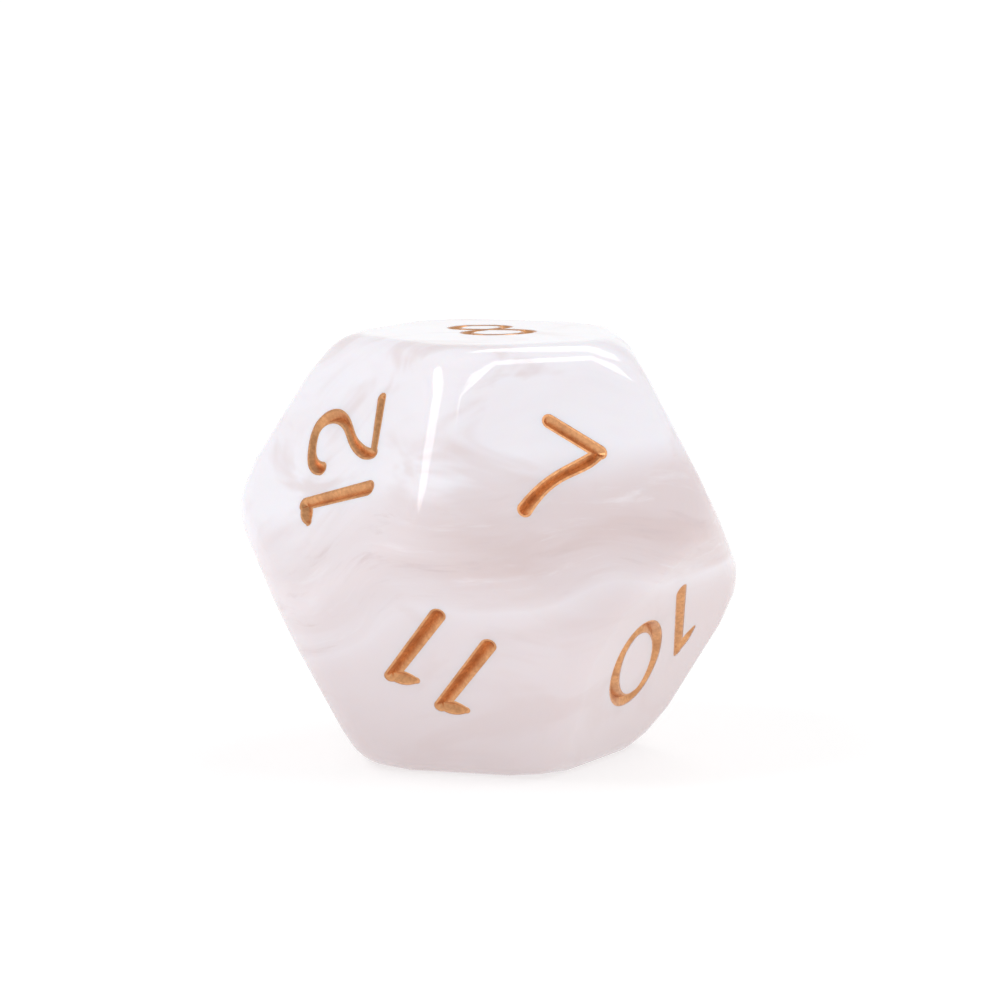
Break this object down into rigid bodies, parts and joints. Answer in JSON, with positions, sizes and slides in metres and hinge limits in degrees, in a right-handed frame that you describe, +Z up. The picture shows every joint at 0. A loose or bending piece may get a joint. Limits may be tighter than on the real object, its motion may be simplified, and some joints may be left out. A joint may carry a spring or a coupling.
{
  "type": "polyhedral die",
  "caption": "Rounded regular dodecahedron of pearl-white resin with a gold-painted numeral in a V groove on every face.",
  "frame": {"origin": "centre of the face that the die rests on (the 5)", "axes": "+Z straight up through the opposite face (the 8); the 11 faces -Y"},
  "size_m": [0.0212, 0.0218, 0.0185],
  "materials": {
    "pearl_resin": "polished, white pearl swirls in a milky translucent resin",
    "gold_paint": "thin metallic gold-bronze paint, satin, on the walls of the numeral grooves"
  },
  "bodies": {
    "root": {"die_body": "pearl_resin", "paint_1": "gold_paint", "paint_2": "gold_paint", "paint_3": "gold_paint", "paint_4": "gold_paint", "paint_5": "gold_paint", "paint_6": "gold_paint", "paint_6_dot": "gold_paint", "paint_7": "gold_paint", "paint_8": "gold_paint", "paint_9": "gold_paint", "paint_9_dot": "gold_paint", "paint_10_one": "gold_paint", "paint_10_zero": "gold_paint", "paint_11_first": "gold_paint", "paint_11_second": "gold_paint", "paint_12_one": "gold_paint", "paint_12_two": "gold_paint"}
  },
  "joints": []
}
